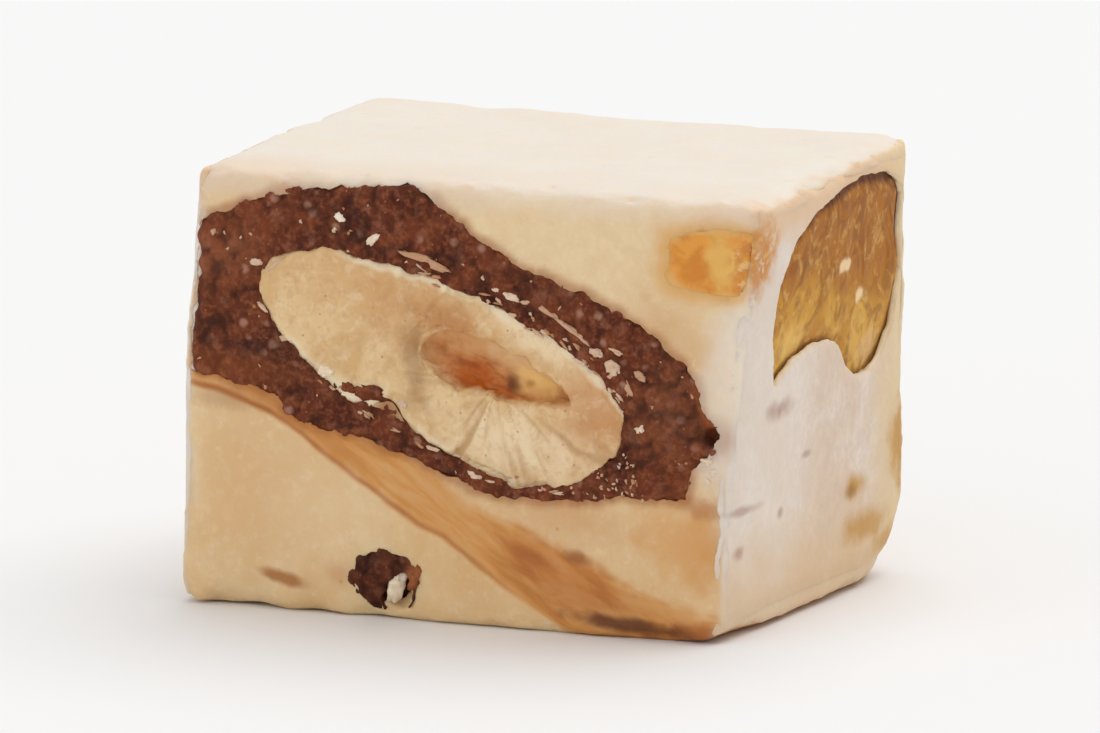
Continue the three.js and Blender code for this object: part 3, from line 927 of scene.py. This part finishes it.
def kernel():
    obj = remeshed(cad_copy("cinnamon_almond", 0.03), "cinnamon_almond")
    smoothed(obj, 4)
    points, normals = points_of(obj), normals_of(obj)
    along, up = kernel_place(points)
    depth = points[:, 1] - FRONT
    facing = step(0.5, 0.9, -normals[:, 1])
    grain = fbm(points, 1.7, 5, 80)
    x, z = points[:, 0], points[:, 2]
    dx, dz = x - FAN_MIDDLE[0], z - FAN_MIDDLE[1]
    fan = np.stack([np.arctan2(dz, dx) * 5.0, np.hypot(dx, dz) * 0.16, depth * 0.3], 1)
    fibre = fbm(fan, 0.9, 3, 84)
    pale_side = step(-0.25, 0.1, along) * step(0.3, -0.1, up)
    ledges = step(0.05, 0.18, fbm(points * (1, 0.4, 1), 2.4, 3, 86))
    rounded = step(0.86, 1.02, np.abs(up) + 0.06 * grain)
    relief = 0.08 * grain + 0.06 * fibre * pale_side + 0.07 * ledges - 0.12 * rounded
    # The right half of the cut lies a little deeper, behind a curved step.
    past_step = x + 3.55 - 0.12 * (z - 13.7) ** 2
    relief -= 0.3 * step(-0.2, 0.25, past_step) * step(5.0, 0.5, past_step)
    points += (facing * relief)[:, None] * normals
    # The rim is ragged.
    loose = (step(0.6, 0.95, np.maximum(np.abs(up), np.abs(along))) * step(3.5, 1.0, depth))[:, None]
    warp = np.stack([fbm(points, 1.3, 4, 87), np.zeros(len(points)), fbm(points, 1.3, 4, 88)], 1)
    points += 0.4 * loose * warp
    # Its lower side has a notch at the left, a belly, and a rise near the right end.
    points[:, 2] += rim_shift(x) * step(0.3, 0.9, -up) * step(3.5, 1.0, depth)
    # The edge of the hollow is ragged too.
    at_hollow = step(0.5, 0.1, np.abs(hollow_reach(points) - 1)) * step(2.2, 1.2, depth)
    uneven = np.stack([fbm(points, 1.0, 4, 93), np.zeros(len(points)), fbm(points, 1.0, 4, 94)], 1)
    points += 0.38 * at_hollow[:, None] * uneven
    put_points(obj, points)
    flat = step(0.6, 0.3, depth)
    paint(obj, "fibre", step(0.0, -0.45, fibre) * pale_side * flat)
    # The rim mask is a painted highlight: a pale line on the rounded rim, along the upper edge, in patches
    # along the lower edge and more at the lower left.
    top_rim = step(0.84, 0.93, up + 0.05 * grain) * step(-0.75, -0.55, along)
    low_rim = step(0.8, 0.95, -up + 0.1 * grain) * step(0.0, 0.35, grain)
    left_rim = step(0.72, 0.95, -up + 0.15 * grain) * step(-0.1, -0.3, along) * step(-0.9, -0.7, along)
    paint(obj, "rim", 0.85 * np.clip(top_rim + 0.7 * low_rim + 0.8 * left_rim, 0, 1) * facing * flat)
    inside = step(0.3, 0.75, depth) * (np.abs(up) < 0.9) * (normals[:, 1] < 0.2) * (along > -0.4)
    paint(obj, "hollow", inside)
    return obj


# Pale dots on the corner almond: y, z, half width, half height.
GLINTS = ((2.4, 18.0, 0.85, 0.5), (5.0, 16.05, 0.75, 0.46))


def corner_kernel():
    obj = remeshed(cad_copy("corner_almond", 0.04), "corner_almond")
    smoothed(obj, 4)
    points, normals = points_of(obj), normals_of(obj)
    ridges = fbm(points * (1, 1.2, 0.7), 2.4, 4, 90)
    points += (0.12 * ridges)[:, None] * normals
    put_points(obj, points)
    y, z = points[:, 1], points[:, 2]
    outer = points[:, 0] > 12.0
    to_sheet = near_to(points * (0, 1, 1), outer, flat_tree("wafer_right", 0), 1.5)
    to_rim = near_to(points, outer, shown_face("corner_almond", 0, 1, False), 1.5)
    away = np.minimum(to_sheet, to_rim)
    uneven = fbm(points, 1.1, 4, 92)
    arc = step(17.6, 19.2, z)
    foot = step(16.4, 15.6, z)
    wide = np.maximum(0.8 * arc + 0.28 * foot + 0.3 * uneven, 0.12)
    skin = np.maximum(arc * step(-0.8, -0.3, uneven), 0.55 * foot) * step(1.0, 0.4, away / wide)
    paint(obj, "skin", 0.9 * skin)
    points[:, 0] += 0.22 * step(0.0, 1.0, away) * outer
    put_points(obj, points)
    glints = np.zeros(len(points))
    for across, up, half_wide, half_tall in GLINTS:
        ragged = np.hypot((y - across) / half_wide, (z - up) / half_tall) + 0.8 * uneven
        glints += 1 - step(0.6, 1.0, ragged)
    paint(obj, "glint", 0.85 * np.clip(glints, 0, 1))
    return obj


CHIP_MIDDLE = (13.6, 20.3)
CHIP_HALVES = (2.8, 1.65)


def chip():
    obj = remeshed(cad_copy("almond_chip", 0.1), "almond_chip")
    smoothed(obj, 4)
    points, normals = points_of(obj), normals_of(obj)
    rough = fbm(points, 1.0, 4, 100)
    flaky = step(14.4, 15.2, points[:, 0])
    points += ((0.06 + 0.1 * flaky) * rough)[:, None] * normals
    put_points(obj, points)
    x, z = points[:, 0], points[:, 2]
    across = np.abs((x - CHIP_MIDDLE[0]) / CHIP_HALVES[0])
    up = np.abs((z - CHIP_MIDDLE[1]) / CHIP_HALVES[1])
    rim = across**3 + up**3
    paint(obj, "veil", 0.8 * step(0.45, 1.05, rim + 0.4 * rough) * (1 - 0.6 * flaky))
    return obj


# ------------------------------------------------------------------ the wafer paper


def wafer(node):
    """A sheet fused to its end: its rim sinks into the nougat, a torn edge stands."""
    obj = remeshed(cad_copy(node, 0.07), node)
    smoothed(obj, 3)
    points, normals = points_of(obj), normals_of(obj)
    out = 1 if points[:, 0].mean() > 0 else -1
    z = points[:, 2]
    sunk = 1 - step(0.2, 2.4, inset(points) + 0.2 * fbm(points, 2.6, 3, 120))
    wrinkle = 0.05 * fbm(points, 2.6, 3, 110) + 0.014 * fbm(points, 0.5, 3, 114)
    torn = step(0.3, 0.85, 1 - np.abs(normals[:, 0])) * step(0.9, 1.4, inset(points))
    fray = 0.12 * fbm(points, 0.8, 3, 118) * torn
    height = (wrinkle + fray) * step(0.0, 0.3, z)
    points += height[:, None] * normals
    points[:, 0] -= out * 0.3 * sunk
    points[:, 2] = np.maximum(points[:, 2], 0.02)
    put_points(obj, points)
    paint(obj, "torn", torn)
    return obj


# ------------------------------------------------------------------ small loose bits

# Bits that show one by one: x, z, half length, half height, the drop of the right end in
# degrees, and the tone from white (0) to tan (1).
FLAKES = (
    (-7.45, 21.3, 0.3, 0.26, 0, 0.0),
    (-7.7, 20.6, 0.14, 0.24, 10, 0.45),
    (-5.5, 20.2, 0.36, 0.2, -40, 0.05),
    (-2.7, 19.35, 1.15, 0.24, 16, 0.8),
    (-12.1, 18.6, 0.34, 0.16, 0, 0.5),
    (-11.2, 18.4, 0.85, 0.1, -40, 0.5),
    (1.4, 18.05, 0.26, 0.14, 10, 0.25),
    (2.2, 17.7, 0.4, 0.16, 20, 0.3),
    (3.0, 17.5, 0.26, 0.14, 0, 0.6),
    (4.2, 17.15, 1.2, 0.14, 30, 0.75),
    (5.8, 16.1, 1.0, 0.16, 34, 0.7),
    (7.0, 15.1, 0.45, 0.24, 20, 0.5),
    (8.1, 15.3, 0.45, 0.18, 15, 0.6),
    (8.0, 14.3, 0.42, 0.42, 0, 0.5),
    (9.4, 14.1, 0.36, 0.22, 40, 0.75),
    (8.8, 13.3, 0.2, 0.4, -20, 0.75),
    (9.5, 11.2, 0.24, 0.2, 0, 0.1),
    (-8.2, 13.0, 0.42, 0.3, 0, 0.0),
    (-9.2, 13.4, 0.3, 0.2, 30, 0.45),
    (-10.6, 14.6, 0.26, 0.18, 0, 0.6),
    (-3.9, 11.6, 0.36, 0.16, 20, 0.5),
    (0.2, 8.1, 0.36, 0.14, 20, 0.4),
    (13.2, 9.8, 0.28, 0.18, 0, 0.12),
    (13.5, 9.3, 0.2, 0.18, 0, 0.25),
    (13.2, 8.8, 0.26, 0.16, 30, 0.2),
    (-14.6, 20.0, 0.16, 0.16, 0, 0.7),
)
# The white crumb in the pit, as pebbles() takes it.
PIT_CRUMB = ((-4.35, FRONT + 0.4, 1.95), (0.38, 0.5, 0.85), 18, 0.0)
# Bits of coat, as in FLAKES.
COAT_BITS = (
    (-5.6, 12.1, 1.0, 0.4, 12, 0.0),
    (-6.9, 12.3, 0.4, 0.25, 0, 0.0),
    (-3.2, 2.3, 0.24, 0.6, 16, 0.0),
)
# Lumps at the lower back edge of the right end: place and half sizes.
NOUGAT_BITS = (
    ((14.7, 10.4, 5.0), (0.7, 0.6, 0.6)),
    ((14.6, 9.5, 3.3), (0.7, 0.6, 0.5)),
    ((14.0, 9.9, 2.0), (0.8, 0.7, 0.6)),
    ((15.0, 10.7, 6.9), (0.5, 0.4, 0.7)),
)


def pebbles(name, bits, seed):
    """Small uneven lumps as one mesh. A bit is a place, three half sizes, a turn and a tone."""
    bpy.ops.mesh.primitive_ico_sphere_add(subdivisions=3, radius=1)
    ball = bpy.context.object
    unit, faces = points_of(ball), np.array([f.vertices[:] for f in ball.data.polygons])
    remove(ball)
    points, sides, tones = [], [], []
    for i, (place, size, turn, tone) in enumerate(bits):
        lump = unit * (1 + 0.95 * fbm(unit + 9.7 * i, 1.1, 4, seed, 0.62)[:, None])
        lump = lump * size
        c, s = math.cos(math.radians(turn)), math.sin(math.radians(turn))
        lump = lump @ np.array([[c, 0, -s], [0, 1, 0], [s, 0, c]])
        sides.append(faces + i * len(unit))
        points.append(lump + place)
        tones += [tone] * len(unit)
    obj = new_object(name, np.concatenate(points), np.concatenate(sides).tolist())
    paint(obj, "tone", tones)
    return obj


def on_front(trees, x, z):
    """The place where the front cut is hit at x and z: the nearest of several surfaces."""
    hits = [tree.ray_cast((x, FRONT - 5, z), (0, 1, 0))[0] for tree in trees]
    hits = [hit for hit in hits if hit is not None]
    return np.array(min(hits, key=lambda hit: hit[1]))


def laid(trees, x, z, long, tall, turn, tone):
    """A bit that lies on the front cut, half sunk."""
    thick = 0.5 * min(long, tall) + 0.04
    return on_front(trees, x, z) + (0, 0.3 * thick, 0), (long, thick, tall), turn, tone


RIM_BITS = 54
COAT_SPECKS = 190
CROWDED_SPECKS = 60


def rim_bits(rng, trees):
    """Torn skin and crumbs along the kernel's rim, mostly at the upper right."""
    bits = []
    for _ in range(RIM_BITS):
        side = 1 if rng.random() < 0.65 else -1
        t = rng.uniform(-0.3, 0.97) if side > 0 else rng.uniform(-0.95, 0.9)
        x, z = rim_place(t, side, rng.normal(0.05, 0.22))
        long = rng.uniform(0.1, 0.42)
        turn = 21 + side * 25 * t + rng.uniform(-25, 25)
        bits.append(laid(trees, x, z, long, rng.uniform(0.05, 0.11), turn, rng.uniform(0.4, 1.0)))
    return bits


def coat_specks(rng, trees, coat_tree, nut_tree):
    """Sugar in the coat: a few specks everywhere, many at the lower right of the kernel."""
    bits = []
    for i in range(COAT_SPECKS):
        crowd = i < CROWDED_SPECKS
        x = rng.uniform(5.0, 10.0) if crowd else rng.uniform(-15.6, 14.0)
        z = rng.uniform(7.4, 10.2) if crowd else rng.uniform(7.4, 23.0)
        size = rng.uniform(0.05, 0.13)
        flat = rng.uniform(0.35, 0.9)
        turn = rng.uniform(0, 180)
        on_coat = coat_tree.ray_cast((x, FRONT - 5, z), (0, 1, 0), 6.5)[0] is not None
        on_nut = nut_tree.ray_cast((x, FRONT - 5, z), (0, 1, 0), 6.5)[0] is not None
        if on_coat and not on_nut:
            bits.append(laid(trees, x, z, size, size * flat, turn, rng.uniform(0.35, 1.0)))
    return bits


# ------------------------------------------------------------------ assembly

nougat_material = nougat_look()
coat_material = coat_look()

whole = block()
coat = crumbly("cinnamon_coat", ["cinnamon_almond"])
crumb = crumbly("cinnamon_crumb", dark=0.45)
nut = kernel()
corner = corner_kernel()
golden_chip = chip()
cut_clear(whole, coat, "cinnamon_coat", 1, -1, 0.06)
cut_clear(whole, nut, "cinnamon_almond", 1, -1)
cut_clear(whole, crumb, "cinnamon_crumb", 1, -1, 0.08)
cut_clear(whole, corner, "corner_almond", 0, 1)
cut_clear(whole, golden_chip, "almond_chip", 1, -1, 0.16)
cut_clear(coat, nut, "cinnamon_almond", 1, -1, 0.05)
pierce(coat)
coat_tree, chip_tree, nut_tree = tree_of(coat), tree_of(golden_chip), tree_of(nut)
paint_nougat(whole, coat_tree, chip_tree)

front_trees = [tree_of(obj) for obj in (whole, coat, nut, crumb)]
rng = np.random.default_rng(7)
flake_bits = [laid(front_trees, *flake) for flake in FLAKES] + [PIT_CRUMB]
flake_bits += rim_bits(rng, front_trees) + coat_specks(rng, front_trees, coat_tree, nut_tree)
flakes = pebbles("nut_flakes", flake_bits, 130)
coat_bits = pebbles("coat_bits", [laid(front_trees, *bit) for bit in COAT_BITS], 131)
nougat_bits = pebbles("nougat_bits", [(place, size, 0, 0) for place, size in NOUGAT_BITS], 132)

finished(whole, "nougat", nougat_material, "nougat", "nougat_body")
finished(coat, "coat", coat_material, "cinnamon_coat", "cinnamon_coat")
finished(crumb, "coat_crumb", coat_material, "cinnamon_coat", "cinnamon_crumb")
finished(nut, "kernel", kernel_look(), "cut_almond", "cinnamon_almond")
finished(corner, "corner_kernel", corner_look(), "golden_almond", "corner_almond")
finished(golden_chip, "chip", chip_look(), "caramelised_almond", "almond_chip")
wafer_material = wafer_look()
finished(wafer("wafer_right"), "wafer_right_sheet", wafer_material, "wafer_paper", "wafer_right")
finished(wafer("wafer_left"), "wafer_left_sheet", wafer_material, "wafer_paper", "wafer_left")
finished(flakes, "nut_flakes", flake_look(), "cut_almond")
finished(coat_bits, "coat_bits", coat_material, "cinnamon_coat")
finished(nougat_bits, "nougat_bits", nougat_material, "nougat")

# ------------------------------------------------------------------ stage, light and camera


def floor():
    size = 4.0
    obj = new_object(
        "floor",
        [(-size, -size, 0), (size, -size, 0), (size, size, 0), (-size, size, 0)],
        [(0, 1, 2, 3)],
    )
    obj.data.materials.append(Look("floor", (238, 238, 239)).finish(0.7, 1.45))


def aim(obj, azimuth, elevation):
    """Makes an object face the bar from a direction, in degrees, and gives that direction."""
    a, e = math.radians(azimuth), math.radians(elevation)
    back = Vector((math.sin(a) * math.cos(e), -math.cos(a) * math.cos(e), math.sin(e)))
    obj.rotation_mode = "QUATERNION"
    obj.rotation_quaternion = back.to_track_quat("Z", "Y")
    bpy.context.scene.collection.objects.link(obj)
    return back


def lights():
    world = bpy.data.worlds.new("studio")
    bpy.context.scene.world = world
    world.use_nodes = True
    world.node_tree.nodes["Background"].inputs["Color"].default_value = (1.0, 0.99, 0.97, 1)
    world.node_tree.nodes["Background"].inputs["Strength"].default_value = 0.62
    for name, strength, soft, azimuth, elevation in (
        ("key", 1.5, 60, 150, 68),
        ("fill", 0.35, 70, -20, 30),
    ):
        sun = bpy.data.lights.new(name, "SUN")
        sun.energy = strength
        sun.angle = math.radians(soft)
        aim(bpy.data.objects.new(name, sun), azimuth, elevation)


AZIMUTH, ELEVATION = 22.1, 11.1
DISTANCE = 0.95
FIELD = 0.058  # width of what the camera sees at the bar, in metres like DISTANCE


def camera():
    data = bpy.data.cameras.new("camera")
    data.sensor_width = 36
    data.lens = data.sensor_width * DISTANCE / FIELD
    data.clip_start, data.clip_end = 0.05, 20
    obj = bpy.data.objects.new("camera", data)
    target = (cad_box[0] + cad_box[1]) / 2
    obj.location = target + aim(obj, AZIMUTH, ELEVATION) * DISTANCE
    bpy.context.scene.camera = obj


floor()
lights()
camera()
bpy.context.scene.view_settings.view_transform = "Standard"
